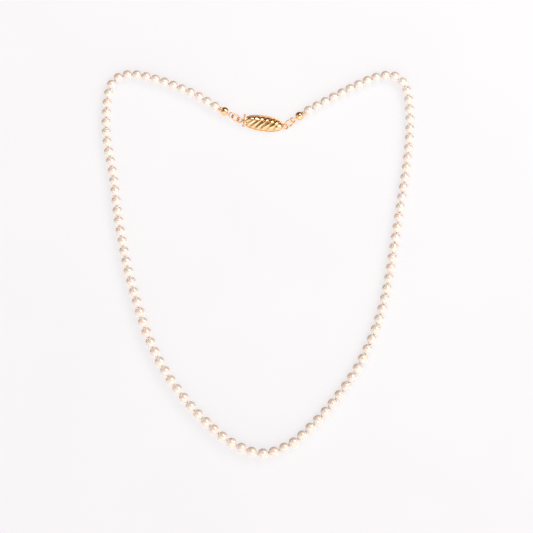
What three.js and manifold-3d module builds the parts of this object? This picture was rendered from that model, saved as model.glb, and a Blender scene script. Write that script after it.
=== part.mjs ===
// A single-strand necklace of graduated round pearls with a fluted box clasp, laid flat in a loop.
// Millimetres, +Z up. The necklace lies on the plane z = 0, the origin is under the middle of the
// loop, +X is to the right and +Y points at the clasp.
//
// The pearls are strung close together on one thread. Each end of the thread is knotted inside a
// hollow clamshell bead tip, whose loop hangs on a jump ring. The left jump ring hangs on the ring
// of the clasp's tongue, and the right one on the ring soldered to the clasp's housing. The tongue
// is a strip folded back on itself: its upper leaf carries the thumb bar and springs up against the
// housing's roof, and the whole tongue slides out of the housing's mouth.

import * as THREE from 'three';
import { mergeVertices } from 'three/addons/utils/BufferGeometryUtils.js';
import Module from 'manifold-3d';

const wasm = await Module();
wasm.setup();

// ---------------------------------------------------------------- driving dimensions

const PEARL_COUNT = 106;
const PEARL_END_DIAMETER = 3.6;
const PEARL_FRONT_DIAMETER = 4.24;
const PEARL_GAP = 0.06;
const FRONT_GAP = 0.25;
const THREAD_RADIUS = 0.3;

// Pearls in each section of one arm, from the clasp to the front. The thread bends between
// sections, and the sections are shorter where the loop turns sharply.
const SECTION_SIZES = [3, 3, 3, 2, 2, 2, 2, 3, 3, 3, 3, 3, 3, 3, 3, 3, 3, 3, 3];

// The line through the pearls' centres, from the first pearl left of the clasp, round the front,
// to the first pearl right of it.
const STRAND_ROUTE = [
  [-16.8, 61.6], [-23.8, 65.8], [-31.0, 69.0], [-38.0, 71.6], [-44.5, 73.4], [-49.4, 74.0],
  [-53.6, 73.3], [-56.6, 70.9], [-58.2, 67.3], [-59.1, 60.0], [-59.0, 49.0], [-56.4, 33.5],
  [-54.3, 16.5], [-51.0, -1.0], [-47.4, -14.5], [-43.0, -28.0], [-37.5, -39.6], [-31.0, -49.5],
  [-22.0, -60.0], [-10.5, -69.6], [1.5, -73.8], [12.5, -70.4], [22.0, -62.2], [31.0, -52.0],
  [39.0, -40.4], [45.5, -26.5], [49.8, -12.0], [52.8, 5.0], [55.4, 21.5], [57.8, 37.0],
  [59.2, 51.5], [59.0, 62.5], [57.4, 69.4], [53.6, 73.3], [48.6, 73.5], [42.0, 71.4],
  [31.0, 66.0], [19.6, 60.0],
];
const ROUTE_SAMPLES = 6000;

const CLASP_CENTRE = [2.1, 55.05];
const CLASP_TILT_DEG = -8;

const HOUSING = {
  halfLength: 7.6,
  halfWidth: 2.9,
  roundness: 2.4,
  mouthX: -6.9,
  plateThickness: 0.5,
  plateRim: 0.2,
  domeHeight: 2.9,
  wall: 0.35,
  fluteDepth: 0.09,
  flutePitch: 2.35,
  fluteLean: 0.85,
};
const SOLDER_GAP = 0.05;
const MOUTH = { width: 2.9, top: 2.05 };

const TONGUE = {
  baseWidth: 2.5,
  baseThickness: 0.3,
  baseBottom: 0.62,
  innerEnd: 4.4,
  outerEnd: -8.15,
  foldThickness: 0.3,
  leafWidth: 2.1,
  leafThickness: 0.25,
  leafRootBottom: 0.97,
  leafTipX: -7.3,
  leafTipBottom: 1.58,
};
const THUMB_BAR = { x: -7.6, z: 1.75, radius: 0.33, length: 4.2, beadRadius: 0.45 };
const LUG = { x: -4.0, size: [0.5, 1.4, 0.3], top: 1.87 };
const CATCH_BAR = { x: -4.6, z: 2.12, radius: 0.16, length: 2.6 };

const RING = { radius: 0.95, wire: 0.25 };
const TONGUE_RING_X = -9.4;
const HOUSING_RING_X = 8.7;
const RING_HEIGHT = 1.1;

const JUMP_RING = { radius: 1.5, wire: 0.27, lean: 40, seamDeg: 6 };

const BEAD_TIP = {
  radius: 1.6,
  wall: 0.3,
  lipLength: 0.7,
  lipRadius: 0.58,
  holeRadius: 0.38,
  loopDistance: 3.1,
  neckWidth: 0.5,
  seamWidth: 0.3,
  height: 1.7,
};
const BEAD_TIP_HEADING_DEG = { left: -28, right: 212 };
const KNOT = { radius: 0.45, offset: 0.55 };

// ---------------------------------------------------------------- materials

const pearlMaterial = new THREE.MeshStandardMaterial({ color: 0xf4ece4, roughness: 0.25, metalness: 0 });
const goldMaterial = new THREE.MeshStandardMaterial({ color: 0xd9a441, roughness: 0.22, metalness: 1 });
const silkMaterial = new THREE.MeshStandardMaterial({ color: 0xf5f1ea, roughness: 0.8, metalness: 0 });

// ---------------------------------------------------------------- solids

function toSolid(geometry) {
  const bare = geometry.clone();
  bare.deleteAttribute('normal');
  bare.deleteAttribute('uv');
  const merged = mergeVertices(bare, 1e-4);
  const mesh = new wasm.Mesh({
    numProp: 3,
    vertProperties: Float32Array.from(merged.attributes.position.array),
    triVerts: Uint32Array.from(merged.index.array),
  });
  return new wasm.Manifold(mesh);
}

function toGeometry(solid) {
  const mesh = solid.getMesh();
  const geometry = new THREE.BufferGeometry();
  geometry.setAttribute('position', new THREE.BufferAttribute(mesh.vertProperties, 3));
  geometry.setIndex(new THREE.BufferAttribute(mesh.triVerts, 1));
  geometry.computeVertexNormals();
  return geometry;
}

function box(lengthX, widthY, heightZ, centre) {
  return toSolid(new THREE.BoxGeometry(lengthX, widthY, heightZ).translate(...centre));
}

function ball(radius, detail, centre) {
  return toSolid(new THREE.IcosahedronGeometry(radius, detail).translate(...centre));
}

// A round bar from one point to another.
function bar(from, to, radius, sides) {
  const start = new THREE.Vector3(...from);
  const end = new THREE.Vector3(...to);
  const along = end.clone().sub(start);
  const geometry = new THREE.CylinderGeometry(radius, radius, along.length(), sides);
  const turn = new THREE.Quaternion().setFromUnitVectors(new THREE.Vector3(0, 1, 0), along.normalize());
  geometry.applyQuaternion(turn);
  geometry.translate(...start.add(end).multiplyScalar(0.5).toArray());
  return toSolid(geometry);
}

function joined(solids) {
  return solids.reduce((whole, solid) => whole.add(solid));
}

function makeMesh(name, geometry, material) {
  const mesh = new THREE.Mesh(geometry, material);
  mesh.name = name;
  return mesh;
}

// ---------------------------------------------------------------- pearls and thread

function pearlDiameter(index) {
  const swell = Math.sin((Math.PI * index) / (PEARL_COUNT - 1)) ** 2;
  return PEARL_END_DIAMETER + (PEARL_FRONT_DIAMETER - PEARL_END_DIAMETER) * swell;
}

// Walks along the route from pearl to pearl, each one its neighbours' radii and a gap further on.
// Every pearl rests on the plane z = 0.
function placePearls() {
  const points = STRAND_ROUTE.map(([x, y]) => new THREE.Vector3(x, y, 0));
  const route = new THREE.CatmullRomCurve3(points, false, 'catmullrom', 0.5).getPoints(ROUTE_SAMPLES);
  const flatCentres = [route[0]];
  let next = 1;
  for (let index = 1; index < PEARL_COUNT; index += 1) {
    const last = flatCentres[index - 1];
    const gap = index === PEARL_COUNT / 2 ? FRONT_GAP : PEARL_GAP;
    const step = (pearlDiameter(index - 1) + pearlDiameter(index)) / 2 + gap;
    while (next < route.length - 1 && route[next].distanceTo(last) < step) {
      next += 1;
    }
    const before = route[next - 1].distanceTo(last);
    const after = route[next].distanceTo(last);
    flatCentres.push(route[next - 1].clone().lerp(route[next], (step - before) / (after - before)));
  }
  return flatCentres.map((centre, index) => ({
    centre: [centre.x, centre.y, pearlDiameter(index) / 2],
    radius: pearlDiameter(index) / 2,
  }));
}

// A run of pearls with the stretches of thread between them.
function sectionGeometry(pearls) {
  const balls = pearls.map(({ centre, radius }) => ball(radius, 1, centre));
  const threads = pearls.slice(1).map(({ centre }, index) => bar(pearls[index].centre, centre, THREAD_RADIUS, 4));
  return toGeometry(joined([...balls, ...threads]));
}

function makeArm(side, armPearls) {
  const arm = new THREE.Group();
  let first = 0;
  SECTION_SIZES.forEach((size, index) => {
    const name = `strand_${side}_${String(index + 1).padStart(2, '0')}`;
    arm.add(makeMesh(name, sectionGeometry(armPearls.slice(first, first + size)), pearlMaterial));
    first += size;
  });
  return arm;
}

// ---------------------------------------------------------------- rings

class ArcCurve extends THREE.Curve {
  constructor(radius, startAngle, endAngle) {
    super();
    this.radius = radius;
    this.startAngle = startAngle;
    this.endAngle = endAngle;
  }

  getPoint(t) {
    const angle = THREE.MathUtils.lerp(this.startAngle, this.endAngle, t);
    return new THREE.Vector3(this.radius * Math.cos(angle), this.radius * Math.sin(angle), 0);
  }
}

function solderedRingGeometry() {
  return new THREE.TorusGeometry(RING.radius, RING.wire, 6, 14);
}

// A cut and closed ring of round wire: its two ends meet at a thin seam half way along one side.
function jumpRingGeometry() {
  const halfSeam = THREE.MathUtils.degToRad(JUMP_RING.seamDeg / 2);
  const section = new THREE.Shape().absarc(0, 0, JUMP_RING.wire, 0, 2 * Math.PI);
  const path = new ArcCurve(JUMP_RING.radius, Math.PI / 2 + halfSeam, (5 * Math.PI) / 2 - halfSeam);
  const geometry = new THREE.ExtrudeGeometry(section, {
    steps: 18,
    curveSegments: 3,
    bevelEnabled: false,
    extrudePath: path,
  });
  return toGeometry(toSolid(geometry));
}

// Leans over on its side, with its long way running from the clasp's ring to the bead tip's loop.
function makeJumpRing(side, claspRing, loop) {
  const ring = makeMesh(`jump_ring_${side}`, jumpRingGeometry(), goldMaterial);
  const along = loop.clone().sub(claspRing).normalize();
  const across = new THREE.Vector3(0, 0, 1).cross(along).normalize();
  const up = along.clone().cross(across);
  const upright = new THREE.Matrix4().makeBasis(along, across, up);
  const lean = new THREE.Matrix4().makeRotationX(THREE.MathUtils.degToRad(JUMP_RING.lean));
  ring.quaternion.setFromRotationMatrix(upright.multiply(lean));
  ring.position.copy(claspRing).lerp(loop, 0.5);
  return ring;
}

// ---------------------------------------------------------------- bead tips

// A hollow ball of two cups, joined at the thread's hole and open along a seam, with a collar
// towards the pearls and a loop at the other end. Its own +X points at the loop.
function beadTipGeometry() {
  const tip = BEAD_TIP;
  const collarEnd = -(tip.radius + tip.lipLength);
  const collar = bar([collarEnd, 0, 0], [-tip.radius * 0.8, 0, 0], tip.lipRadius, 10);
  const loop = toSolid(solderedRingGeometry().translate(tip.loopDistance, 0, 0));
  const neckEnd = tip.loopDistance - RING.radius + RING.wire;
  const neckStart = tip.radius * 0.75;
  const neckSide = tip.seamWidth / 2 + tip.neckWidth / 2;
  const neck = box(neckEnd - neckStart, tip.neckWidth, 2 * RING.wire, [(neckStart + neckEnd) / 2, neckSide, 0]);
  const shell = joined([ball(tip.radius, 2, [0, 0, 0]), collar, neck]);
  const hollow = ball(tip.radius - tip.wall, 1, [0, 0, 0]);
  const threadHole = bar([collarEnd - 1, 0, 0], [0, 0, 0], tip.holeRadius, 8);
  const seam = box(2 * tip.radius, tip.seamWidth, 4 * tip.radius, [tip.radius * 0.6, 0, 0]);
  return toGeometry(shell.subtract(hollow).subtract(threadHole).subtract(seam).add(loop));
}

function makeBeadTip(side, firstPearl) {
  const heading = THREE.MathUtils.degToRad(BEAD_TIP_HEADING_DEG[side]);
  const toCup = firstPearl.radius + PEARL_GAP + BEAD_TIP.lipLength + BEAD_TIP.radius;
  const group = new THREE.Group();
  const [x, y] = firstPearl.centre;
  group.position.set(x + toCup * Math.cos(heading), y + toCup * Math.sin(heading), BEAD_TIP.height);
  group.rotation.z = heading;
  group.add(makeMesh(`bead_tip_${side}`, beadTipGeometry(), goldMaterial));
  const knot = toGeometry(ball(KNOT.radius, 1, [-KNOT.offset, 0, 0]));
  group.add(makeMesh(`thread_knot_${side}`, knot, silkMaterial));
  return group;
}

// ---------------------------------------------------------------- clasp housing

// A blunt-ended ellipsoid. Leaning flutes run across its upper half, and fade out towards z = 0.
function roundedSolid(halfLength, halfWidth, height, fluteDepth, lengthSteps, roundSteps) {
  const geometry = new THREE.SphereGeometry(1, roundSteps, lengthSteps);
  geometry.rotateZ(Math.PI / 2);
  const position = geometry.attributes.position;
  const point = new THREE.Vector3();
  for (let index = 0; index < position.count; index += 1) {
    point.fromBufferAttribute(position, index);
    const power = HOUSING.roundness;
    const blunt = (Math.abs(point.x) ** power + Math.abs(point.y) ** power + Math.abs(point.z) ** power) ** (1 / power);
    point.divideScalar(blunt);
    const x = point.x * halfLength;
    const y = point.y * halfWidth;
    const phase = (x - y * HOUSING.fluteLean) / HOUSING.flutePitch;
    const groove = 1 - Math.abs(Math.cos(Math.PI * phase));
    const fade = Math.min(1, 2.5 * Math.max(0, point.z));
    const scale = 1 - fluteDepth * fade * groove ** 2;
    position.setXYZ(index, x * scale, y * scale, point.z * height * scale);
  }
  return toSolid(geometry);
}

function backPlateGeometry() {
  const { halfLength, halfWidth, roundness, plateRim, plateThickness, mouthX } = HOUSING;
  const outline = new THREE.Shape();
  const steps = 40;
  for (let step = 0; step < steps; step += 1) {
    const angle = (2 * Math.PI * step) / steps;
    const blunt = (Math.abs(Math.cos(angle)) ** roundness + Math.abs(Math.sin(angle)) ** roundness) ** (1 / roundness);
    const x = ((halfLength + plateRim) * Math.cos(angle)) / blunt;
    const y = ((halfWidth + plateRim) * Math.sin(angle)) / blunt;
    if (step === 0) {
      outline.moveTo(x, y);
    } else {
      outline.lineTo(x, y);
    }
  }
  const plate = toSolid(new THREE.ExtrudeGeometry(outline, { depth: plateThickness, bevelEnabled: false }));
  return toGeometry(plate.subtract(box(4, 8, 4, [mouthX - 2, 0, 0])));
}

// The hollow fluted front of the housing, with the mouth for the tongue at its cut end.
function frontShellGeometry() {
  const { halfLength, halfWidth, domeHeight, wall, fluteDepth, mouthX, plateThickness } = HOUSING;
  const outer = roundedSolid(halfLength, halfWidth, domeHeight, fluteDepth, 28, 20);
  const hollow = roundedSolid(halfLength - wall, halfWidth - wall, domeHeight - wall, 0, 12, 12);
  const belowFoot = box(20, 8, 5, [0, 0, -2.5]);
  const beyondMouth = box(4, 8, 10, [mouthX - 2, 0, 0]);
  const endWall = box(4, 8, 10, [mouthX + wall - 2, 0, 0]);
  const foot = plateThickness + SOLDER_GAP;
  const mouth = box(4 * wall, MOUTH.width, 2 * (MOUTH.top - foot), [mouthX, 0, 0]);
  const cuts = [belowFoot, beyondMouth, hollow.subtract(endWall), mouth];
  const shell = cuts.reduce((whole, cut) => whole.subtract(cut), outer);
  return toGeometry(shell).translate(0, 0, foot);
}

function makeHousing() {
  const housing = new THREE.Group();
  const { x, z, radius, length } = CATCH_BAR;
  const catchBar = toGeometry(bar([x, -length / 2, z], [x, length / 2, z], radius, 6));
  const ring = solderedRingGeometry().translate(HOUSING_RING_X, 0, RING_HEIGHT);
  housing.add(makeMesh('clasp_back_plate', backPlateGeometry(), goldMaterial));
  housing.add(makeMesh('clasp_front_shell', frontShellGeometry(), goldMaterial));
  housing.add(makeMesh('clasp_catch_bar', catchBar, goldMaterial));
  housing.add(makeMesh('housing_ring', ring, goldMaterial));
  return housing;
}

// ---------------------------------------------------------------- clasp tongue

// The strip that lies on the back plate, with the upturned fold at its inner end.
function baseLeafGeometry() {
  const { baseWidth, baseThickness, baseBottom, innerEnd, outerEnd, foldThickness } = TONGUE;
  const foldTop = TONGUE.leafRootBottom + TONGUE.leafThickness;
  const stripEnd = innerEnd + SOLDER_GAP + foldThickness;
  const strip = box(
    stripEnd - outerEnd,
    baseWidth,
    baseThickness,
    [(outerEnd + stripEnd) / 2, 0, baseBottom + baseThickness / 2],
  );
  const fold = box(
    foldThickness,
    baseWidth,
    foldTop - baseBottom,
    [stripEnd - foldThickness / 2, 0, (baseBottom + foldTop) / 2],
  );
  return toGeometry(strip.add(fold));
}

// The leaf that springs up from the fold, with the catch's lug on its back and the thumb bar
// across its outer end.
function springLeafGeometry() {
  const { innerEnd, leafTipX, leafWidth, leafThickness, leafRootBottom, leafTipBottom } = TONGUE;
  const side = new THREE.Shape();
  side.moveTo(innerEnd, leafRootBottom);
  side.lineTo(innerEnd, leafRootBottom + leafThickness);
  side.lineTo(leafTipX, leafTipBottom + leafThickness);
  side.lineTo(leafTipX, leafTipBottom);
  side.closePath();
  const extruded = new THREE.ExtrudeGeometry(side, { depth: leafWidth, bevelEnabled: false });
  const leaf = toSolid(extruded.rotateX(Math.PI / 2).translate(0, leafWidth / 2, 0));
  const lug = box(...LUG.size, [LUG.x, 0, LUG.top - LUG.size[2] / 2]);
  const { x, z, radius, length, beadRadius } = THUMB_BAR;
  const ends = [-length / 2, length / 2];
  const thumbBar = bar([x, ends[0], z], [x, ends[1], z], radius, 8);
  const beads = ends.map((y) => ball(beadRadius, 1, [x, y, z]));
  return toGeometry(joined([leaf, lug, thumbBar, ...beads]));
}

function makeTongue() {
  const tongue = new THREE.Group();
  const ring = solderedRingGeometry().translate(TONGUE_RING_X, 0, RING_HEIGHT);
  tongue.add(makeMesh('tongue_base_leaf', baseLeafGeometry(), goldMaterial));
  tongue.add(makeMesh('tongue_spring_leaf', springLeafGeometry(), goldMaterial));
  tongue.add(makeMesh('tongue_ring', ring, goldMaterial));
  return tongue;
}

function makeClasp() {
  const clasp = new THREE.Group();
  clasp.position.set(...CLASP_CENTRE, 0);
  clasp.rotation.z = THREE.MathUtils.degToRad(CLASP_TILT_DEG);
  clasp.add(makeHousing(), makeTongue());
  return clasp;
}

// A point of the clasp's own frame, in the necklace's frame.
function claspPoint(x, z) {
  const tilt = THREE.MathUtils.degToRad(CLASP_TILT_DEG);
  return new THREE.Vector3(CLASP_CENTRE[0] + x * Math.cos(tilt), CLASP_CENTRE[1] + x * Math.sin(tilt), z);
}

// ---------------------------------------------------------------- the whole necklace

const pearls = placePearls();
const armPearls = {
  left: pearls.slice(0, PEARL_COUNT / 2),
  right: pearls.slice(PEARL_COUNT / 2).reverse(),
};
const claspRings = {
  left: claspPoint(TONGUE_RING_X, RING_HEIGHT),
  right: claspPoint(HOUSING_RING_X, RING_HEIGHT),
};

const necklace = new THREE.Group();
necklace.add(makeClasp());
for (const side of ['left', 'right']) {
  const beadTip = makeBeadTip(side, armPearls[side][0]);
  const loop = new THREE.Vector3(BEAD_TIP.loopDistance, 0, 0)
    .applyAxisAngle(new THREE.Vector3(0, 0, 1), beadTip.rotation.z)
    .add(beadTip.position);
  necklace.add(makeJumpRing(side, claspRings[side], loop));
  necklace.add(beadTip);
  necklace.add(makeArm(side, armPearls[side]));
}

export default necklace;
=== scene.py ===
"""The looks of a pearl necklace: graduated cream pearls on twisted silk, with a fluted gold box clasp.

Shapes are worked out in millimetres and made in metres, in the frame's own axes: X to the right, Y from the
front pearls to the clasp, Z up from the surface that the necklace lies on.
"""

import math
import random

import bmesh
import bpy
import numpy as np
from mathutils import Matrix, Vector


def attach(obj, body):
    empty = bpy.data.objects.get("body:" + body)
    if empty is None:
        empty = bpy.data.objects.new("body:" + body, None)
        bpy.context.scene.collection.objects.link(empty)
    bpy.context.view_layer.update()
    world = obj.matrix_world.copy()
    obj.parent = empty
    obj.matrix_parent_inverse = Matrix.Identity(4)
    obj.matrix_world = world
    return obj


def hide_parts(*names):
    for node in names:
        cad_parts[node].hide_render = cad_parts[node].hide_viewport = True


MM = 0.001

# ---------------------------------------------------------------- sizes shared with the CAD source, in mm

PEARL_COUNT = 106
PEARL_END_DIAMETER = 3.6
PEARL_FRONT_DIAMETER = 4.24
PEARL_GAP = 0.06
FRONT_GAP = 0.25
SECTION_SIZES = [3, 3, 3, 2, 2, 2, 2, 3, 3, 3, 3, 3, 3, 3, 3, 3, 3, 3, 3]

# The line through the pearls' centres, from the first pearl left of the clasp, round the front, to the
# first pearl right of it.
STRAND_ROUTE = [
    (-16.8, 61.6), (-23.8, 65.8), (-31.0, 69.0), (-38.0, 71.6), (-44.5, 73.4), (-49.4, 74.0),
    (-53.6, 73.3), (-56.6, 70.9), (-58.2, 67.3), (-59.1, 60.0), (-59.0, 49.0), (-56.4, 33.5),
    (-54.3, 16.5), (-51.0, -1.0), (-47.4, -14.5), (-43.0, -28.0), (-37.5, -39.6), (-31.0, -49.5),
    (-22.0, -60.0), (-10.5, -69.6), (1.5, -73.8), (12.5, -70.4), (22.0, -62.2), (31.0, -52.0),
    (39.0, -40.4), (45.5, -26.5), (49.8, -12.0), (52.8, 5.0), (55.4, 21.5), (57.8, 37.0),
    (59.2, 51.5), (59.0, 62.5), (57.4, 69.4), (53.6, 73.3), (48.6, 73.5), (42.0, 71.4),
    (31.0, 66.0), (19.6, 60.0),
]
ROUTE_SAMPLES = 6000

CLASP_CENTRE = (2.1, 55.05)
CLASP_TILT_DEG = -8
HALF_LENGTH = 7.6
HALF_WIDTH = 2.9
DOME_HEIGHT = 2.9
ROUNDNESS = 2.4
MOUTH_X = -6.9
MOUTH_WIDTH = 2.9
MOUTH_HEIGHT = 1.5
SHELL_WALL = 0.35
SHELL_FOOT = 0.55
PLATE_RIM = 0.2
PLATE_THICKNESS = 0.5
FLUTE_PITCH = 2.35
FLUTE_LEAN = 0.85

CATCH_BAR_X = -4.6
CATCH_BAR_Z = 2.12
CATCH_BAR_RADIUS = 0.16
CATCH_BAR_LENGTH = 2.6

TONGUE_INNER_END = 4.4
TONGUE_OUTER_END = -8.15
BASE_LEAF_WIDTH = 2.5
BASE_LEAF_THICKNESS = 0.3
BASE_LEAF_HEIGHT = 0.77
FOLD_HEIGHT = 1.1
SPRING_LEAF_WIDTH = 2.1
SPRING_LEAF_THICKNESS = 0.25
LEAF_ROOT_HEIGHT = 1.095
LEAF_TIP_HEIGHT = 1.69
LEAF_TIP_X = -7.3
LUG_WIDTH = 1.4
THUMB_BAR_X = -7.6
THUMB_BAR_Z = 1.75
THUMB_BAR_LENGTH = 4.2
THUMB_BAR_RADIUS = 0.33
THUMB_BALL_RADIUS = 0.45
RING_RADIUS = 0.95
RING_WIRE = 0.25
RING_HEIGHT = 1.1
SOLDER_OVERLAP = 0.1
TONGUE_RING_X = -9.4
HOUSING_RING_X = 8.7
JUMP_RADIUS = 1.5
JUMP_WIRE = 0.27
JUMP_LEAN_DEG = 40
JUMP_SEAM_DEG = 6
CUP_RADIUS = 1.6
CUP_HEIGHT = 1.7
CUP_HEADING_DEG = {"left": -28, "right": 212}
COLLAR_LENGTH = 0.7
LOOP_DISTANCE = 3.1
KNOT_OFFSET = 0.55

# ---------------------------------------------------------------- sizes of the finer detail, in mm

HOLE_RADIUS = 0.36
LIP_ROUNDING = 0.09
PLY_RADIUS = 0.125
PLY_OFFSET = 0.14
PLY_TURN_LENGTH = 1.5
CUP_WALL = 0.16
CUP_OPENING_DEG = 9
CUP_FLARE = 0.5
THROAT_OUTER_RADIUS = 0.52
THROAT_INNER_RADIUS = 0.34
KNOT_SCALE = 0.13
KNOT_THREAD_RADIUS = 0.14
SOLDER_RADIUS = 0.2
SOLDER_SPREAD = 0.16
RING_END_OFFSET = 0.035
THREAD_POINT_SPACING = 0.2
WELD_DISTANCE = 0.002

# The dome stands back from the plate's edge, so that the plate shows as a rim all round.
DOME_INSET = 0.26
FLUTE_TIP_FADE = 1.2

# ---------------------------------------------------------------- shares and counts

PEARL_SIDES = 36
PEARL_PROFILE_STEPS = 26
PEARL_UNEVENNESS = 0.007

# The flutes' depth is a share of the dome's size. They fade out over its lowest part.
FLUTE_DEPTH = 0.27
FLUTE_INNER_SHARE = 0.8
FLUTE_SHARPNESS = 1.25
FLUTE_FADE = 2.5

SEED = 53


# ---------------------------------------------------------------- mesh building

class Patches:
    """Collects sheets of points, and makes one welded mesh of them."""

    def __init__(self):
        self.points = []
        self.faces = []

    def sheet(self, rows, close_rows=False, close_columns=False):
        """Adds a grid of points, joined into four-sided faces."""
        rows = np.asarray(rows, float)
        row_count, column_count = rows.shape[:2]
        first = len(self.points)
        self.points.extend(map(tuple, rows.reshape(-1, 3)))
        for row in range(row_count if close_rows else row_count - 1):
            below = (row + 1) % row_count
            for column in range(column_count if close_columns else column_count - 1):
                beside = (column + 1) % column_count
                self.faces.append((
                    first + row * column_count + column,
                    first + row * column_count + beside,
                    first + below * column_count + beside,
                    first + below * column_count + column,
                ))

    def cap(self, ring):
        """Adds one face that fills a ring of points."""
        first = len(self.points)
        self.points.extend(map(tuple, ring))
        self.faces.append(tuple(range(first, first + len(ring))))

    def tube(self, centres, radii, sides=12, closed=False):
        """Adds a round tube along a line of centres, with rounded ends where it isn't closed."""
        rows = tube_rows(np.asarray(centres, float), np.broadcast_to(radii, len(centres)), sides, closed)
        self.sheet(rows, close_rows=closed, close_columns=True)
        if not closed:
            self.cap(rows[0][::-1])
            self.cap(rows[-1])

    def to_mesh(self, name, sharp_deg=50):
        """Makes the mesh, smooth apart from edges sharper than that."""
        mesh = bpy.data.meshes.new(name)
        mesh.from_pydata([tuple(c * MM for c in point) for point in self.points], [], self.faces)
        weld(mesh)
        mesh.polygons.foreach_set("use_smooth", [True] * len(mesh.polygons))
        mesh.set_sharp_from_angle(angle=math.radians(sharp_deg))
        return mesh


def weld(mesh):
    """Joins points that share a place, and turns every face outwards."""
    work = bmesh.new()
    work.from_mesh(mesh)
    bmesh.ops.remove_doubles(work, verts=work.verts, dist=WELD_DISTANCE * MM)
    bmesh.ops.dissolve_degenerate(work, edges=work.edges, dist=WELD_DISTANCE / 2 * MM)
    bmesh.ops.recalc_face_normals(work, faces=work.faces)
    work.to_mesh(mesh)
    work.free()


def unit(vectors):
    """The same directions, each one long."""
    return vectors / np.linalg.norm(vectors, axis=-1, keepdims=True)


def tube_rows(centres, radii, sides, closed):
    """Rings of points round a line of centres, carried along it without twisting."""
    if closed:
        ahead = np.roll(centres, -1, axis=0) - np.roll(centres, 1, axis=0)
    else:
        ahead = np.gradient(centres, axis=0)
    tangents = unit(ahead)
    side = np.cross(tangents[0], (0.0, 0.0, 1.0))
    if np.linalg.norm(side) < 0.1:
        side = np.cross(tangents[0], (0.0, 1.0, 0.0))
    angles = np.linspace(0, 2 * math.pi, sides, endpoint=False)
    rows = []
    for centre, tangent, radius in zip(centres, tangents, radii):
        side = unit(side - tangent * side.dot(tangent))
        other = np.cross(tangent, side)
        rows.append(centre + radius * (np.outer(np.cos(angles), side) + np.outer(np.sin(angles), other)))
    return np.array(rows)


def rounded_tube(centres, radius, steps=4):
    """Centres and radii of a tube whose two ends are half balls."""
    centres = np.asarray(centres, float)
    start = unit(centres[1] - centres[0])
    end = unit(centres[-1] - centres[-2])
    turns = np.linspace(0.08, 1, steps) * math.pi / 2
    first = [centres[0] - start * radius * (1 - math.sin(a)) for a in turns]
    last = [centres[-1] + end * radius * (1 - math.sin(a)) for a in turns[::-1]]
    swell = [radius * math.sqrt(1 - (1 - math.sin(a)) ** 2) for a in turns]
    return np.array(first + list(centres[1:-1]) + last), swell + [radius] * (len(centres) - 2) + swell[::-1]


def turned(profile, sides):
    """Rows of a surface of revolution about X. The profile is a list of (x, radius)."""
    angles = np.linspace(0, 2 * math.pi, sides, endpoint=False)
    return np.array([[(x, r * math.cos(a), r * math.sin(a)) for a in angles] for x, r in profile])


def add_piece(name, mesh, place, material, body, slot, *nodes):
    """Puts a mesh in place, on its body, standing for its CAD nodes.

    The place goes into the mesh, so that the materials' noise differs from piece to piece.
    """
    piece = bpy.data.objects.new(name, mesh)
    bpy.context.scene.collection.objects.link(piece)
    mesh.materials.append(material)
    mesh.transform(place)
    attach(piece, body)
    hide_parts(*nodes)
    return piece


def place_at(x, y, z, heading=0.0):
    """A place in mm, turned about the vertical."""
    return Matrix.Translation(Vector((x, y, z)) * MM) @ Matrix.Rotation(heading, 4, "Z")


# ---------------------------------------------------------------- materials

def new_material(name):
    """A material with its node tree's nodes and links and its shader."""
    material = bpy.data.materials.new(name)
    material.use_nodes = True
    nodes = material.node_tree.nodes
    return material, nodes, material.node_tree.links, nodes["Principled BSDF"]


def noise_node(nodes, links, coordinate, per_mm, detail=3.0, roughness=0.5, distortion=0.0):
    """Noise whose features come per_mm times in each millimetre."""
    noise = nodes.new("ShaderNodeTexNoise")
    noise.inputs["Scale"].default_value = per_mm / MM
    noise.inputs["Detail"].default_value = detail
    noise.inputs["Roughness"].default_value = roughness
    noise.inputs["Distortion"].default_value = distortion
    links.new(coordinate, noise.inputs["Vector"])
    return noise.outputs["Fac"]


def ramp_node(nodes, links, factor, stops):
    """A colour ramp with (position, colour) stops."""
    ramp = nodes.new("ShaderNodeValToRGB")
    elements = ramp.color_ramp.elements
    while len(elements) < len(stops):
        elements.new(0.5)
    for element, (position, colour) in zip(elements, stops):
        element.position = position
        element.color = (*colour, 1.0)
    links.new(factor, ramp.inputs["Fac"])
    return ramp.outputs["Color"]


def range_node(nodes, links, value, low, high):
    """Maps the middle of a noise's values onto the range from low to high."""
    mapped = nodes.new("ShaderNodeMapRange")
    mapped.inputs["From Min"].default_value = 0.3
    mapped.inputs["From Max"].default_value = 0.7
    mapped.inputs["To Min"].default_value = low
    mapped.inputs["To Max"].default_value = high
    links.new(value, mapped.inputs["Value"])
    return mapped.outputs["Result"]


def bump_node(nodes, links, height, shader, distance, strength, below=None):
    """Bumps of that height in mm, on top of the bumps below."""
    bump = nodes.new("ShaderNodeBump")
    bump.inputs["Distance"].default_value = distance * MM
    bump.inputs["Strength"].default_value = strength
    links.new(height, bump.inputs["Height"])
    if below is not None:
        links.new(below, bump.inputs["Normal"])
    links.new(bump.outputs["Normal"], shader.inputs["Normal"])
    return bump.outputs["Normal"]


def object_coordinates(nodes):
    """Places on the piece at rest, which move with it."""
    return nodes.new("ShaderNodeTexCoord").outputs["Object"]


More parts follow.
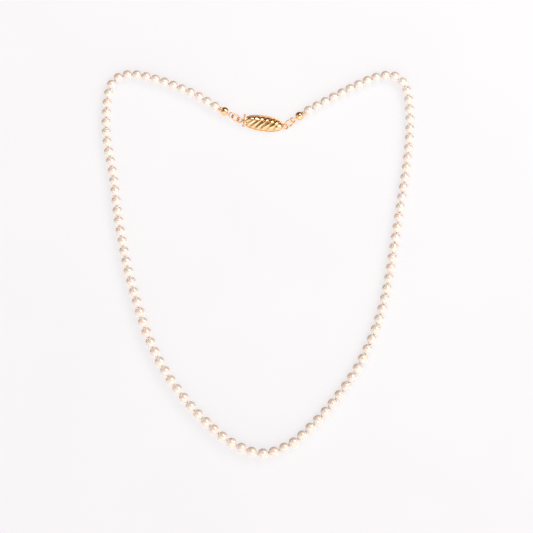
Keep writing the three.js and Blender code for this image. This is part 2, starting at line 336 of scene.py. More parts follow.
def pearl_material(name, body_colour, overtone):
    """Nacre: a cream body with clouds of a second tint, under a clear lustrous skin with fine dimples."""
    material, nodes, links, shader = new_material(name)
    place = object_coordinates(nodes)
    clouds = noise_node(nodes, links, place, 0.32, detail=2.0, distortion=0.6)
    colour = ramp_node(nodes, links, clouds, [(0.35, body_colour), (0.68, overtone)])
    links.new(colour, shader.inputs["Base Color"])
    skin = noise_node(nodes, links, place, 1.4, detail=4.0)
    links.new(range_node(nodes, links, skin, 0.16, 0.27), shader.inputs["Roughness"])
    growth = noise_node(nodes, links, place, 5.0, detail=5.0, roughness=0.65)
    dimples = bump_node(nodes, links, skin, shader, 0.02, 0.35)
    bump_node(nodes, links, growth, shader, 0.004, 0.25, dimples)
    shader.inputs["IOR"].default_value = 2.1
    shader.inputs["Subsurface Weight"].default_value = 0.35
    shader.inputs["Subsurface Radius"].default_value = (1.0, 0.72, 0.5)
    shader.inputs["Subsurface Scale"].default_value = 0.7 * MM
    shader.inputs["Coat Weight"].default_value = 1.0
    shader.inputs["Coat Roughness"].default_value = 0.06
    shader.inputs["Coat IOR"].default_value = 1.7
    shader.inputs["Sheen Weight"].default_value = 0.08
    shader.inputs["Sheen Roughness"].default_value = 0.35
    shader.inputs["Sheen Tint"].default_value = (1.0, 0.84, 0.82, 1.0)
    return material


def silk_material():
    """Twisted silk: fine fibres along each ply, and a soft sheen."""
    material, nodes, links, shader = new_material("silk_thread")
    place = object_coordinates(nodes)
    fibres = noise_node(nodes, links, place, 9.0, detail=3.0, distortion=1.5)
    colour = ramp_node(nodes, links, fibres, [(0.3, (0.72, 0.66, 0.56)), (0.7, (0.9, 0.86, 0.78))])
    links.new(colour, shader.inputs["Base Color"])
    links.new(range_node(nodes, links, fibres, 0.55, 0.8), shader.inputs["Roughness"])
    bump_node(nodes, links, fibres, shader, 0.02, 0.6)
    shader.inputs["Sheen Weight"].default_value = 0.4
    shader.inputs["Sheen Roughness"].default_value = 0.4
    return material


def gold_material(name, bright, shade, smoothness=(0.07, 0.17)):
    """Polished gold plate: faint scratches, cloudy polish, and painted shade, a far deeper tint in the
    flutes' valleys.
    """
    material, nodes, links, shader = new_material(name)
    place = object_coordinates(nodes)
    clouds = noise_node(nodes, links, place, 0.9, detail=4.0)
    tint = ramp_node(nodes, links, clouds, [(0.3, shade), (0.6, bright)])
    # Painted shade: the gold is darkened towards a quarter of its shade tint in the flutes' valleys, by the
    # depth stored on the mesh.
    painted_groove_shade = nodes.new("ShaderNodeAttribute")
    painted_groove_shade.attribute_name = "painted_groove_shade"
    mix = nodes.new("ShaderNodeMix")
    mix.data_type = "RGBA"
    links.new(painted_groove_shade.outputs["Fac"], mix.inputs["Factor"])
    links.new(tint, mix.inputs["A"])
    mix.inputs["B"].default_value = tuple(c * 0.24 for c in shade) + (1.0,)
    links.new(mix.outputs["Result"], shader.inputs["Base Color"])
    stretch = nodes.new("ShaderNodeMapping")
    stretch.inputs["Scale"].default_value = (0.25, 1.0, 1.0)
    stretch.inputs["Rotation"].default_value = (0.0, 0.0, 0.5)
    links.new(place, stretch.inputs["Vector"])
    scratches = noise_node(nodes, links, stretch.outputs["Vector"], 14.0, detail=2.0, roughness=0.7)
    polish = noise_node(nodes, links, place, 2.4, detail=3.0)
    links.new(range_node(nodes, links, polish, *smoothness), shader.inputs["Roughness"])
    waves = bump_node(nodes, links, clouds, shader, 0.05, 0.25)
    bump_node(nodes, links, scratches, shader, 0.004, 0.3, waves)
    shader.inputs["Metallic"].default_value = 1.0
    return material


# ---------------------------------------------------------------- the strand

def pearl_diameter(index):
    """Smallest at the clasp, growing smoothly to the front."""
    swell = math.sin(math.pi * index / (PEARL_COUNT - 1)) ** 2
    return PEARL_END_DIAMETER + (PEARL_FRONT_DIAMETER - PEARL_END_DIAMETER) * swell


def smooth_route():
    """Points of the uniform Catmull-Rom curve through the route, the ends run on in a straight line."""
    route = np.array(STRAND_ROUTE)
    route = np.vstack([2 * route[0] - route[1], route, 2 * route[-1] - route[-2]])
    along = np.arange(ROUTE_SAMPLES + 1) / ROUTE_SAMPLES * (len(STRAND_ROUTE) - 1)
    start = np.minimum(along.astype(int), len(STRAND_ROUTE) - 2)
    t = (along - start)[:, None]
    before, here, there, beyond = (route[start + shift] for shift in range(4))
    leave = 0.5 * (there - before)
    arrive = 0.5 * (beyond - here)
    return (
        here
        + leave * t
        + (-3 * here + 3 * there - 2 * leave - arrive) * t ** 2
        + (2 * here - 2 * there + leave + arrive) * t ** 3
    )


def place_pearls():
    """The centre and radius of each pearl: each one lies its neighbours' radii and a gap further on."""
    route = smooth_route()
    centres = [route[0]]
    following = 1
    for index in range(1, PEARL_COUNT):
        last = centres[-1]
        gap = FRONT_GAP if index == PEARL_COUNT // 2 else PEARL_GAP
        step = (pearl_diameter(index - 1) + pearl_diameter(index)) / 2 + gap
        while following < ROUTE_SAMPLES and np.linalg.norm(route[following] - last) < step:
            following += 1
        near = np.linalg.norm(route[following - 1] - last)
        far = np.linalg.norm(route[following] - last)
        share = (step - near) / (far - near)
        centres.append(route[following - 1] * (1 - share) + route[following] * share)
    radii = [pearl_diameter(index) / 2 for index in range(PEARL_COUNT)]
    return [(np.array([x, y, radius]), radius) for (x, y), radius in zip(centres, radii)]


def pearl_profile(radius):
    """(x, distance from the drill axis) round the outside and back through the drilled hole."""
    lip = math.asin((HOLE_RADIUS + LIP_ROUNDING) / radius)
    outside = np.linspace(lip, math.pi - lip, PEARL_PROFILE_STEPS)
    profile = [(-radius * math.cos(a), radius * math.sin(a)) for a in outside]
    mouth = radius * math.cos(lip)
    rounding = [(mouth - LIP_ROUNDING * 0.12, HOLE_RADIUS + LIP_ROUNDING * 0.3),
                (mouth - LIP_ROUNDING * 0.9, HOLE_RADIUS)]
    bore = rounding + [(-x, r) for x, r in rounding[::-1]]
    return profile + bore


def pearl_mesh(name, radius, chance):
    """A drilled pearl, a little uneven, as grown pearls are. The drill axis is X."""
    rows = turned(pearl_profile(radius), PEARL_SIDES)
    outside = rows[:PEARL_PROFILE_STEPS]
    directions = unit(outside)
    swelling = np.zeros(directions.shape[:2])
    for _ in range(5):
        wave = unit(np.array([chance.gauss(0, 1) for _ in range(3)])) * chance.uniform(1.5, 4.0)
        swelling += np.cos(directions @ wave + chance.uniform(0, 2 * math.pi))
    reach = np.sin(np.linspace(0, math.pi, PEARL_PROFILE_STEPS))[:, None]
    outside *= (1 + PEARL_UNEVENNESS * (swelling * 0.45 - 1) * reach)[..., None]
    patches = Patches()
    patches.sheet(rows, close_rows=True, close_columns=True)
    return patches.to_mesh(name, sharp_deg=70)


def add_pearl(side, number, centre, radius, direction, material, body, node, chance):
    """One pearl, turned by chance about its drill axis."""
    name = f"pearl_{side}_{number:02d}"
    heading = math.atan2(direction[1], direction[0])
    spin = Matrix.Rotation(chance.uniform(0, 2 * math.pi), 4, "X")
    place = place_at(*centre, heading) @ spin
    return add_piece(name, pearl_mesh(name, radius, chance), place, material, body, "pearl", node)


def along_line(points, spacing):
    """Evenly spaced points along straight stretches, with the corners eased."""
    points = np.asarray(points, float)
    lengths = np.r_[0, np.cumsum(np.linalg.norm(np.diff(points, axis=0), axis=1))]
    count = max(4, int(lengths[-1] / spacing))
    wanted = np.linspace(0, lengths[-1], count + 1)
    line = np.column_stack([np.interp(wanted, lengths, points[:, axis]) for axis in range(3)])
    for _ in range(3):
        line[1:-1] = (line[:-2] + 2 * line[1:-1] + line[2:]) / 4
    return line


def twisted_plies(patches, line):
    """Three plies wound round a line."""
    ahead = unit(np.gradient(line, axis=0))
    side = unit(np.cross(ahead, (0.0, 0.0, 1.0)))
    over = np.cross(side, ahead)
    travelled = np.r_[0, np.cumsum(np.linalg.norm(np.diff(line, axis=0), axis=1))]
    for ply in range(3):
        turn = 2 * math.pi * (travelled / PLY_TURN_LENGTH + ply / 3)
        centres = line + PLY_OFFSET * (np.cos(turn)[:, None] * side + np.sin(turn)[:, None] * over)
        patches.tube(*rounded_tube(centres, PLY_RADIUS, steps=2), sides=8)


def add_thread(side, number, points, material, body, node):
    """The stretch of thread through one section's pearls. It starts and ends at the hinges."""
    patches = Patches()
    twisted_plies(patches, along_line(points, THREAD_POINT_SPACING))
    name = f"thread_{side}_{number:02d}"
    return add_piece(name, patches.to_mesh(name), Matrix.Identity(4), material, body, "silk", node)


def between(first, second):
    """The middle of the gap between two pearls."""
    (a, radius_a), (b, radius_b) = first, second
    reach = unit(b - a)
    return (a + reach * radius_a + b - reach * radius_b) / 2


def add_arm(side, arm, entry, pearl_materials, silk, chance):
    """One side of the strand, from the clasp to the front. entry is where the thread leaves the bead tip."""
    first = 0
    for section, size in enumerate(SECTION_SIZES, start=1):
        body = f"{side}_section_{section:02d}"
        node = f"strand_{side}_{section:02d}"
        pearls = arm[first:first + size]
        start = entry if first == 0 else between(arm[first - 1], arm[first])
        last = first + size == len(arm)
        tail = unit(arm[-1][0] - arm[-2][0])
        if last:
            end = arm[-1][0] + tail * (arm[-1][1] + FRONT_GAP / 2)
        else:
            end = between(pearls[-1], arm[first + size])
        stations = [start] + [centre for centre, _ in pearls] + [end]
        for offset, (centre, radius) in enumerate(pearls):
            direction = stations[offset + 2] - stations[offset]
            material = pearl_materials[chance.randrange(len(pearl_materials))]
            add_pearl(side, first + offset + 1, centre, radius, direction, material, body, node, chance)
        add_thread(side, section, stations, silk, body, node)
        first += size


# ---------------------------------------------------------------- rings

def circle(radius, steps, start_deg=0.0, end_deg=360.0):
    """Points of an arc in the XY plane. A whole circle leaves out the repeated last point."""
    whole = end_deg - start_deg >= 360
    angles = np.radians(np.linspace(start_deg, end_deg, steps, endpoint=not whole))
    return np.column_stack([radius * np.cos(angles), radius * np.sin(angles), 0 * angles])


def soldered_ring_mesh(name, solder_x):
    """A closed ring round the origin, with a fillet of solder that runs out to what it is joined to."""
    patches = Patches()
    patches.tube(circle(RING_RADIUS, 48), RING_WIRE, sides=16, closed=True)
    joint = math.copysign(RING_RADIUS - 0.05, solder_x)
    line = np.column_stack([np.linspace(joint, solder_x, 7), np.zeros(7), np.zeros(7)])
    swell = SOLDER_RADIUS + SOLDER_SPREAD * np.linspace(0, 1, 7) ** 2
    patches.tube(line, swell, sides=14)
    return patches.to_mesh(name)


def jump_ring_mesh(name):
    """Round wire bent into a ring, its two cut ends all but meeting and a hair out of line."""
    half_seam = JUMP_SEAM_DEG / 2
    arc = circle(JUMP_RADIUS, 64, 90 + half_seam, 450 - half_seam)
    arc[:, 2] = np.linspace(-RING_END_OFFSET, RING_END_OFFSET, len(arc))
    radii = np.full(len(arc), JUMP_WIRE)
    radii[[0, -1]] = JUMP_WIRE * 0.86
    patches = Patches()
    patches.tube(arc, radii, sides=16)
    return patches.to_mesh(name)


def jump_ring_place(clasp_ring, loop):
    """Leans over on its side, its long way running from the clasp's ring to the bead tip's loop."""
    along = (loop - clasp_ring).normalized()
    across = Vector((0, 0, 1)).cross(along).normalized()
    upright = Matrix((along, across, along.cross(across))).transposed().to_4x4()
    lean = Matrix.Rotation(math.radians(JUMP_LEAN_DEG), 4, "X")
    return Matrix.Translation(clasp_ring.lerp(loop, 0.5) * MM) @ upright @ lean


# ---------------------------------------------------------------- bead tips

def cup_rows(inner):
    """One cup of the bead tip as rows from its flared collar to its hinge: half a ball, open towards -Y."""
    radius = CUP_RADIUS - (CUP_WALL if inner else 0)
    collar = COLLAR_LENGTH * 0.9
    throat = THROAT_INNER_RADIUS if inner else THROAT_OUTER_RADIUS
    angles = np.linspace(math.asin(throat / radius), math.pi - 0.22, 22)
    profile = [(-radius * math.cos(a), radius * math.sin(a)) for a in angles]
    flare = [
        (-CUP_RADIUS - collar, throat + CUP_FLARE),
        (-CUP_RADIUS - collar * 0.85, throat + CUP_FLARE * 0.76),
        (-CUP_RADIUS - collar * 0.6, throat + CUP_FLARE * 0.32),
        (-CUP_RADIUS - collar * 0.25, throat),
    ]
    around = np.linspace(0.045, math.pi - 0.045, 26)
    return np.array([[(x, r * math.sin(a), r * math.cos(a)) for a in around] for x, r in flare + profile])


def cup_mesh(name, mirror):
    """A thin pressed cup, the inside and outside skins joined round the rim."""
    outside, inside = cup_rows(False), cup_rows(True)
    patches = Patches()
    patches.sheet(outside)
    patches.sheet(inside)
    for edge in (np.s_[:, 0], np.s_[:, -1], np.s_[0, :], np.s_[-1, :]):
        patches.sheet([outside[edge], (outside[edge] + inside[edge]) / 2, inside[edge]])
    points = np.array(patches.points)
    hinge = np.array([CUP_RADIUS * 0.95, 0.0, 0.0])
    turn = math.radians(CUP_OPENING_DEG / 2)
    relative = points - hinge
    opened = relative.copy()
    opened[:, 0] = relative[:, 0] * math.cos(turn) + relative[:, 1] * math.sin(turn)
    opened[:, 1] = relative[:, 1] * math.cos(turn) - relative[:, 0] * math.sin(turn)
    points = opened + hinge
    points[:, 1] *= mirror
    patches.points = list(map(tuple, points))
    return patches.to_mesh(name)


def tip_loop_mesh(name):
    """The strap that closes the hinge of the two cups and ends in the loop."""
    patches = Patches()
    patches.tube(circle(RING_RADIUS, 44) + (LOOP_DISTANCE, 0, 0), RING_WIRE, sides=16, closed=True)
    neck = np.linspace(CUP_RADIUS * 0.82, LOOP_DISTANCE - RING_RADIUS + 0.05, 8)
    line = np.column_stack([neck, 0 * neck, 0 * neck])
    patches.tube(line, 0.3 - 0.09 * np.sin(np.linspace(0, math.pi, 8)), sides=14)
    return patches.to_mesh(name)


def knot_mesh(name, tail_length):
    """An overhand knot pulled tight inside the cups, with the thread leaving it towards the pearls."""
    t = np.linspace(0, 2 * math.pi, 60, endpoint=False)
    knot = np.column_stack([
        np.sin(t) + 2 * np.sin(2 * t),
        np.cos(t) - 2 * np.cos(2 * t),
        -1.3 * np.sin(3 * t),
    ]) * KNOT_SCALE
    patches = Patches()
    patches.tube(knot, KNOT_THREAD_RADIUS, sides=10, closed=True)
    tail = np.column_stack([np.linspace(0.1, -tail_length, 12), np.zeros(12), np.zeros(12)])
    twisted_plies(patches, tail)
    return patches.to_mesh(name)


def add_bead_tip(side, first_pearl, gold, silk):
    """The clamshell tip. Returns where its loop's centre is and where the thread leaves it."""
    centre, radius = first_pearl
    heading = math.radians(CUP_HEADING_DEG[side])
    towards = np.array([math.cos(heading), math.sin(heading), 0])
    cup = centre + towards * (radius + PEARL_GAP + COLLAR_LENGTH + CUP_RADIUS)
    place = place_at(cup[0], cup[1], CUP_HEIGHT, heading)
    body = f"{side}_bead_tip"
    node = f"bead_tip_{side}"
    for half, mirror in (("near", -1), ("far", 1)):
        name = f"bead_tip_{side}_{half}_cup"
        add_piece(name, cup_mesh(name, mirror), place, gold, body, "gold", node)
    name = f"bead_tip_{side}_loop"
    add_piece(name, tip_loop_mesh(name), place, gold, body, "gold", node)
    tail = CUP_RADIUS + COLLAR_LENGTH + PEARL_GAP / 2 - KNOT_OFFSET
    name = f"thread_knot_{side}"
    knot_place = place @ Matrix.Translation(Vector((-KNOT_OFFSET, 0, 0)) * MM)
    add_piece(name, knot_mesh(name, tail), knot_place, silk, body, "silk", name)
    loop = Vector((*(cup + towards * LOOP_DISTANCE)[:2], CUP_HEIGHT))
    return loop, centre + towards * (radius + PEARL_GAP / 2)


# ---------------------------------------------------------------- the clasp's housing

def blunt(angle):
    """Makes a unit circle into a blunter closed curve."""
    return (abs(math.cos(angle)) ** ROUNDNESS + abs(math.sin(angle)) ** ROUNDNESS) ** (-1 / ROUNDNESS)


def groove_at(x, y):
    """0 on the crest of a flute, 1 in the valley beside it."""
    phase = (x - y * FLUTE_LEAN) / FLUTE_PITCH
    return 1 - np.abs(np.cos(math.pi * phase))


def dome_section(share, across, wall):
    """One arch of the dome. share runs from the mouth to the tip, across is the angles over the arch."""
    half_length = HALF_LENGTH - DOME_INSET / 2 - wall
    half_width = HALF_WIDTH - DOME_INSET - wall
    height = DOME_HEIGHT - wall
    start = MOUTH_X + (SHELL_WALL if wall else 0)
    mouth_angle = math.acos(-((-start / half_length) ** (ROUNDNESS / 2)))
    angle = mouth_angle * (1 - share)
    x = math.copysign(abs(math.cos(angle)) ** (2 / ROUNDNESS), math.cos(angle)) * half_length
    size = max(0.0, 1 - abs(x / half_length) ** ROUNDNESS) ** (1 / ROUNDNESS)
    bluntness = np.array([blunt(a) for a in across])
    y = half_width * size * np.cos(across) * bluntness
    z = height * size * np.sin(across) * bluntness
    return np.column_stack([np.full(len(across), x), y, z])


def fluted(section, depth):
    """Presses the flutes into an arch of the dome, fading out towards its foot and its tip."""
    x, y, z = section.T
    foot_fade = np.clip(FLUTE_FADE * z / DOME_HEIGHT, 0, 1)
    tip_fade = np.clip((HALF_LENGTH - x) / FLUTE_TIP_FADE, 0, 1)
    pressed = depth * foot_fade * tip_fade * groove_at(x, y) ** FLUTE_SHARPNESS
    return section * (1 - pressed)[:, None]


def front_shell_mesh(name):
    """The pressed front: a fluted dome with a thin wall and a mouth in its cut end."""
    across = np.linspace(0, math.pi, 97)
    shares = np.linspace(0, 1, 190)
    outside = [fluted(dome_section(share, across, 0), FLUTE_DEPTH) for share in shares]
    inside_depth = FLUTE_DEPTH * FLUTE_INNER_SHARE
    inside = [fluted(dome_section(share, across, SHELL_WALL), inside_depth) for share in shares]
    squareness = 5.0
    arch = (np.abs(np.cos(across)) ** squareness + np.abs(np.sin(across)) ** squareness) ** (-1 / squareness)
    mouth = np.column_stack([
        np.full(len(across), MOUTH_X),
        MOUTH_WIDTH / 2 * np.cos(across) * arch,
        MOUTH_HEIGHT * np.sin(across) * arch,
    ])
    deeper = mouth + (SHELL_WALL, 0, 0)
    soft_edge = outside[0] * (1, 0.985, 0.985) - (0.05, 0, 0)
    patches = Patches()
    patches.sheet(outside)
    patches.sheet([outside[0], soft_edge, mouth, deeper, inside[0]])
    patches.sheet(inside)
    for edge in (0, -1):
        foot_outside = np.array([section[edge] for section in outside])
        foot_inside = np.array([section[edge] for section in inside])
        patches.sheet([foot_outside, foot_inside])
        patches.cap([outside[0][edge], soft_edge[edge], mouth[edge], deeper[edge], inside[0][edge]])
    mesh = patches.to_mesh(name, sharp_deg=38)
    # The depth in the flutes is stored for the painted shade in their valleys.
    paint_groove_shade(mesh)
    return mesh


def paint_groove_shade(mesh):
    """Stores how deep in a flute each point is, for the material's painted shade in the flute valleys."""
    places = np.array([v.co for v in mesh.vertices]) / MM
    groove = groove_at(places[:, 0], places[:, 1])
    fade = np.clip(FLUTE_FADE * places[:, 2] / DOME_HEIGHT, 0, 1)
    # Painted shade: strongest in the valleys, fading out towards the dome's foot.
    attribute = mesh.attributes.new("painted_groove_shade", "FLOAT", "POINT")
    attribute.data.foreach_set("value", np.clip(groove ** 2.2 * fade * 0.85, 0, 1).astype(np.float32))


def plate_outline(inset, z, steps=140):
    """The back plate's edge, cut off straight at the mouth."""
    angles = np.linspace(0, 2 * math.pi, steps, endpoint=False)
    length, width = HALF_LENGTH + PLATE_RIM - inset, HALF_WIDTH + PLATE_RIM - inset
    points = [(length * math.cos(a) * blunt(a), width * math.sin(a) * blunt(a), z) for a in angles]
    return [(max(x, MOUTH_X + inset), y, z) for x, y, z in points]


def back_plate_mesh(name):
    """A flat plate with a rounded rim standing round the dome."""
    t = PLATE_THICKNESS
    profile = [(0.34, 0.0), (0.1, 0.02), (0.02, 0.1), (0.0, t * 0.5), (0.03, t - 0.12), (0.12, t - 0.03),
               (0.24, t), (0.4, t - 0.04), (0.6, t - 0.05)]
    rows = [plate_outline(inset, z) for inset, z in profile]
    patches = Patches()
    patches.sheet(rows, close_columns=True)
    patches.cap(rows[0][::-1])
    patches.cap(rows[-1])
    return patches.to_mesh(name)


# ---------------------------------------------------------------- the clasp's tongue

def strip_rows(line, width, thickness):
    """A flat strip with softened edges. line is (x, z) of its middle, from end to end."""
    line = np.asarray(line, float)
    ahead = unit(np.gradient(line, axis=0))
    up = np.column_stack([-ahead[:, 1], ahead[:, 0]])
    soft = min(thickness * 0.3, 0.09)
    half_width, half_thickness = width / 2, thickness / 2
    corners = [
        (half_width, half_thickness - soft), (half_width - soft, half_thickness),
        (-half_width + soft, half_thickness), (-half_width, half_thickness - soft),
        (-half_width, -half_thickness + soft), (-half_width + soft, -half_thickness),
        (half_width - soft, -half_thickness), (half_width, -half_thickness + soft),
    ]
    return np.array([
        [(x + u[0] * rise, across, z + u[1] * rise) for across, rise in corners]
        for (x, z), u in zip(line, up)
    ])


def add_strip(patches, line, width, thickness):
    """Adds a flat strip with closed ends."""
    rows = strip_rows(line, width, thickness)
    patches.sheet(rows, close_columns=True)
    patches.cap(rows[0][::-1])
    patches.cap(rows[-1])


def straight(start, end, steps):
    """Evenly spaced points from start to end."""
    return [tuple(point) for point in np.linspace(start, end, steps)]


def tongue_base_mesh(name):
    """The strip along the housing's floor, turned up at its inner end where the folded leaf begins."""
    fold_x = TONGUE_INNER_END + 0.2
    bend = 0.15
    line = straight((TONGUE_OUTER_END + 0.1, BASE_LEAF_HEIGHT), (fold_x - 0.05, BASE_LEAF_HEIGHT), 24)
    line += [
        (fold_x + bend * math.sin(a), BASE_LEAF_HEIGHT + bend - bend * math.cos(a))
        for a in np.linspace(0, 1.5, 5)
    ]
    line += [(fold_x + bend, FOLD_HEIGHT)]
    patches = Patches()
    add_strip(patches, line, BASE_LEAF_WIDTH, BASE_LEAF_THICKNESS)
    return patches.to_mesh(name)


def spring_leaf_mesh(name):
    """The upper leaf, rising to the thumb bar, with the catch's lug pressed up out of it."""
    line = straight((TONGUE_INNER_END, LEAF_ROOT_HEIGHT), (LEAF_TIP_X + 0.3, LEAF_TIP_HEIGHT), 30)
    line += [(LEAF_TIP_X + 0.1, 1.72), (LEAF_TIP_X - 0.1, 1.745)]
    patches = Patches()
    add_strip(patches, line, SPRING_LEAF_WIDTH, SPRING_LEAF_THICKNESS)
    lug_arch = [(-4.3, 1.6), (-4.15, 1.68), (-4.0, 1.73), (-3.85, 1.68), (-3.7, 1.55)]
    add_strip(patches, lug_arch, LUG_WIDTH, SPRING_LEAF_THICKNESS - 0.01)
    return patches.to_mesh(name)


def thumb_bar_mesh(name):
    """A waisted bar across the tongue's end, with a ball at each end."""
    half = THUMB_BAR_LENGTH / 2
    turns = np.linspace(0.75, math.pi - 0.02, 10)
    ball = [(half - 0.42 * math.cos(a), THUMB_BALL_RADIUS * math.sin(a)) for a in turns]
    neck = [(half - 0.36, 0.27), (half - 0.55, 0.25), (half - 0.8, 0.3), (half - 1.2, 0.325)]
    right = neck[::-1] + ball
    profile = [(-x, r) for x, r in right[::-1]] + [(0.0, THUMB_BAR_RADIUS)] + right
    rows = turned(profile, 24)
    patches = Patches()
    patches.sheet(rows, close_columns=True)
    patches.cap(rows[0])
    patches.cap(rows[-1])
    return patches.to_mesh(name)


def catch_bar_mesh(name):
    """A short round bar that the lug catches behind."""
    half = CATCH_BAR_LENGTH / 2
    line = np.column_stack([np.linspace(-half, half, 12), np.zeros(12), np.zeros(12)])
    patches = Patches()
    patches.tube(*rounded_tube(line, CATCH_BAR_RADIUS), sides=14)
    return patches.to_mesh(name)


def add_clasp(shell_gold, rim_gold, wire_gold):
    """The box clasp: its housing with its catch, and the folded tongue with its thumb bar."""
    place = place_at(*CLASP_CENTRE, 0, math.radians(CLASP_TILT_DEG))

    def clasp_piece(name, mesh_maker, gold, body, node, x=0.0, z=0.0, turn=0.0):
        there = place @ Matrix.Translation(Vector((x, 0, z)) * MM) @ Matrix.Rotation(turn, 4, "Z")
        return add_piece(name, mesh_maker(name), there, gold, body, "gold", node)

    def housing_ring_mesh(name):
        return soldered_ring_mesh(name, HALF_LENGTH - HOUSING_RING_X - SOLDER_OVERLAP)

    def tongue_ring_mesh(name):
        return soldered_ring_mesh(name, TONGUE_OUTER_END - TONGUE_RING_X + SOLDER_OVERLAP)

    clasp_piece("clasp_front_shell", front_shell_mesh, shell_gold, "clasp_housing", "clasp_front_shell",
                z=SHELL_FOOT)
    clasp_piece("clasp_back_plate", back_plate_mesh, rim_gold, "clasp_housing", "clasp_back_plate")
    clasp_piece("clasp_catch_bar", catch_bar_mesh, wire_gold, "clasp_housing", "clasp_catch_bar",
                x=CATCH_BAR_X, z=CATCH_BAR_Z, turn=math.pi / 2)
    clasp_piece("housing_ring", housing_ring_mesh, wire_gold, "clasp_housing", "housing_ring",
                x=HOUSING_RING_X, z=RING_HEIGHT)
    clasp_piece("tongue_base_leaf", tongue_base_mesh, rim_gold, "clasp_tongue", "tongue_base_leaf")
    clasp_piece("tongue_ring", tongue_ring_mesh, wire_gold, "clasp_tongue", "tongue_ring",
                x=TONGUE_RING_X, z=RING_HEIGHT)
    clasp_piece("tongue_spring_leaf", spring_leaf_mesh, rim_gold, "tongue_leaf", "tongue_spring_leaf")
    clasp_piece("tongue_thumb_bar", thumb_bar_mesh, wire_gold, "tongue_leaf", "tongue_spring_leaf",
                x=THUMB_BAR_X, z=THUMB_BAR_Z, turn=math.pi / 2)
    return place


def add_necklace():
    """The whole necklace, on the frame's bodies."""
    chance = random.Random(SEED)
    pearl_materials = [
        pearl_material("pearl_cream", (0.89, 0.785, 0.70), (0.90, 0.81, 0.755)),
        pearl_material("pearl_rose", (0.89, 0.77, 0.70), (0.90, 0.80, 0.745)),
        pearl_material("pearl_ivory", (0.88, 0.79, 0.705), (0.89, 0.815, 0.75)),
    ]
    silk = silk_material()
    shell_gold = gold_material("gold_fluted", (1.0, 0.79, 0.50), (0.84, 0.59, 0.32))
    rim_gold = gold_material("gold_plate", (1.0, 0.70, 0.42), (0.86, 0.50, 0.27))
    wire_gold = gold_material("gold_wire", (0.96, 0.62, 0.36), (0.76, 0.40, 0.20), (0.1, 0.2))
    pearls = place_pearls()
    half = PEARL_COUNT // 2
    arms = {"left": pearls[:half], "right": pearls[half:][::-1]}
    clasp_place = add_clasp(shell_gold, rim_gold, wire_gold)
    ring_x = {"left": TONGUE_RING_X, "right": HOUSING_RING_X}
    for side, arm in arms.items():
        loop, entry = add_bead_tip(side, arm[0], rim_gold, silk)
        ring = clasp_place @ (Vector((ring_x[side], 0, RING_HEIGHT)) * MM) / MM
        name = f"jump_ring_{side}"
        add_piece(name, jump_ring_mesh(name), jump_ring_place(ring, loop), wire_gold,
                  f"{side}_jump_ring", "gold", name)
        add_arm(side, arm, entry, pearl_materials, silk, chance)


# ---------------------------------------------------------------- the studio, in metres

CAMERA_DISTANCE = 0.9
CAMERA_AIM = (0.0033, -0.0008)
STRAND_HEIGHT = 0.002
SEEN_WIDTH = 0.2079
SOFTBOX_DISTANCE = 0.75
FLOOR_HALF_SIZE = 6.0


def add_floor():
    """A plain pale floor. Part of its brightness is its own glow, which keeps the shadows faint.

    The necklace's reflections and bounce light come from the sky's lower half instead.
    """
    mesh = bpy.data.meshes.new("floor")
    half = FLOOR_HALF_SIZE
    corners = [(-half, -half, 0), (half, -half, 0), (half, half, 0), (-half, half, 0)]
    mesh.from_pydata(corners, [], [(0, 1, 2, 3)])
    floor = bpy.data.objects.new("floor", mesh)
    bpy.context.scene.collection.objects.link(floor)
    material, nodes, links, shader = new_material("floor_paper")
    grain = noise_node(nodes, links, object_coordinates(nodes), 0.02, detail=2.0)
    tone = ramp_node(nodes, links, grain, [(0.4, (0.249, 0.247, 0.253)), (0.6, (0.251, 0.249, 0.255))])
    links.new(tone, shader.inputs["Base Color"])
    shader.inputs["Roughness"].default_value = 0.9
    shader.inputs["Specular IOR Level"].default_value = 0.1
    links.new(tone, shader.inputs["Emission Color"])
    shader.inputs["Emission Strength"].default_value = 2.7
    mesh.materials.append(material)
    floor.visible_glossy = False
    floor.visible_diffuse = False


def add_softbox(name, direction, width, height, radiance, colour):
    """A rectangular soft light that faces the necklace from that direction."""
    light = bpy.data.lights.new(name, "AREA")
    light.shape = "RECTANGLE"
    light.size = width
    light.size_y = height
    light.energy = radiance * math.pi * width * height
    light.color = colour
    lamp = bpy.data.objects.new(name, light)
    bpy.context.scene.collection.objects.link(lamp)
    towards = Vector(direction).normalized()
    lamp.location = towards * SOFTBOX_DISTANCE
    lamp.rotation_mode = "QUATERNION"
    lamp.rotation_quaternion = towards.to_track_quat("Z", "Y")


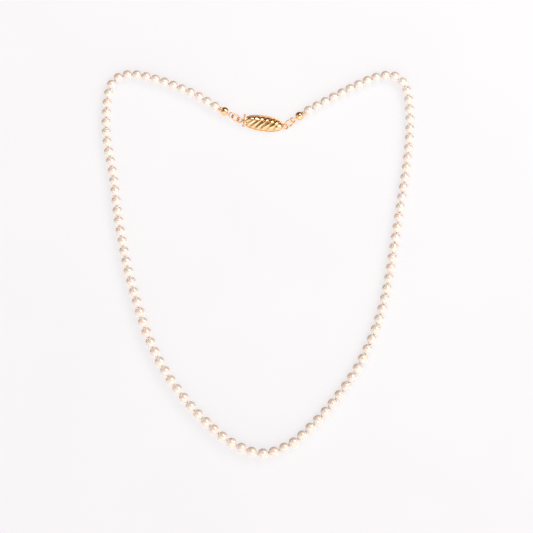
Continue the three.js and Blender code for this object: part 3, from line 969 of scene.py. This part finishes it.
def add_sky():
    """A soft pale surround, with a warm brown side behind the necklace that only its surfaces see."""
    world = bpy.data.worlds.new("studio")
    bpy.context.scene.world = world
    world.use_nodes = True
    nodes, links = world.node_tree.nodes, world.node_tree.links
    background = nodes["Background"]
    direction = nodes.new("ShaderNodeTexCoord").outputs["Generated"]
    facing = nodes.new("ShaderNodeVectorMath")
    facing.operation = "DOT_PRODUCT"
    facing.inputs[1].default_value = (-0.05, 0.92, 0.06)
    links.new(direction, facing.inputs[0])
    surround = ramp_node(nodes, links, facing.outputs["Value"], [
        (0.0, (1.15, 1.10, 1.08)),
        (0.12, (0.62, 0.52, 0.45)),
        (0.32, (0.36, 0.24, 0.15)),
        (0.8, (0.17, 0.09, 0.045)),
    ])
    seen = nodes.new("ShaderNodeLightPath")
    mix = nodes.new("ShaderNodeMix")
    mix.data_type = "RGBA"
    links.new(seen.outputs["Is Camera Ray"], mix.inputs["Factor"])
    links.new(surround, mix.inputs["A"])
    mix.inputs["B"].default_value = (0.93, 0.915, 0.92, 1.0)
    links.new(mix.outputs["Result"], background.inputs["Color"])
    background.inputs["Strength"].default_value = 1.0


def add_camera():
    """Looks straight down on the loop."""
    data = bpy.data.cameras.new("camera")
    camera = bpy.data.objects.new("camera", data)
    bpy.context.scene.collection.objects.link(camera)
    data.lens = data.sensor_width * CAMERA_DISTANCE / SEEN_WIDTH
    data.clip_start = 0.01
    camera.location = (*CAMERA_AIM, CAMERA_DISTANCE + STRAND_HEIGHT)
    bpy.context.scene.camera = camera


def set_studio():
    """The floor, the light and the camera."""
    add_floor()
    add_sky()
    add_softbox("softbox_front", (0.1, -0.62, 0.78), 0.6, 0.36, 0.7, (1.0, 0.985, 0.97))
    add_softbox("softbox_back_right", (0.51, 0.564, 0.656), 0.78, 0.36, 4.3, (1.0, 0.985, 0.97))
    add_camera()
    bpy.context.scene.view_settings.view_transform = "Standard"


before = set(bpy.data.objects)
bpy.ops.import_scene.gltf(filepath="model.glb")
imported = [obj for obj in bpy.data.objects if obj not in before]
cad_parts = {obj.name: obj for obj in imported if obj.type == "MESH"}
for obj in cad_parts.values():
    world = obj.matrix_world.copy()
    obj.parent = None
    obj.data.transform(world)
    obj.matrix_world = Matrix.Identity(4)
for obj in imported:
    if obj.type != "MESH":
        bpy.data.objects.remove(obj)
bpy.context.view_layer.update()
add_necklace()
set_studio()
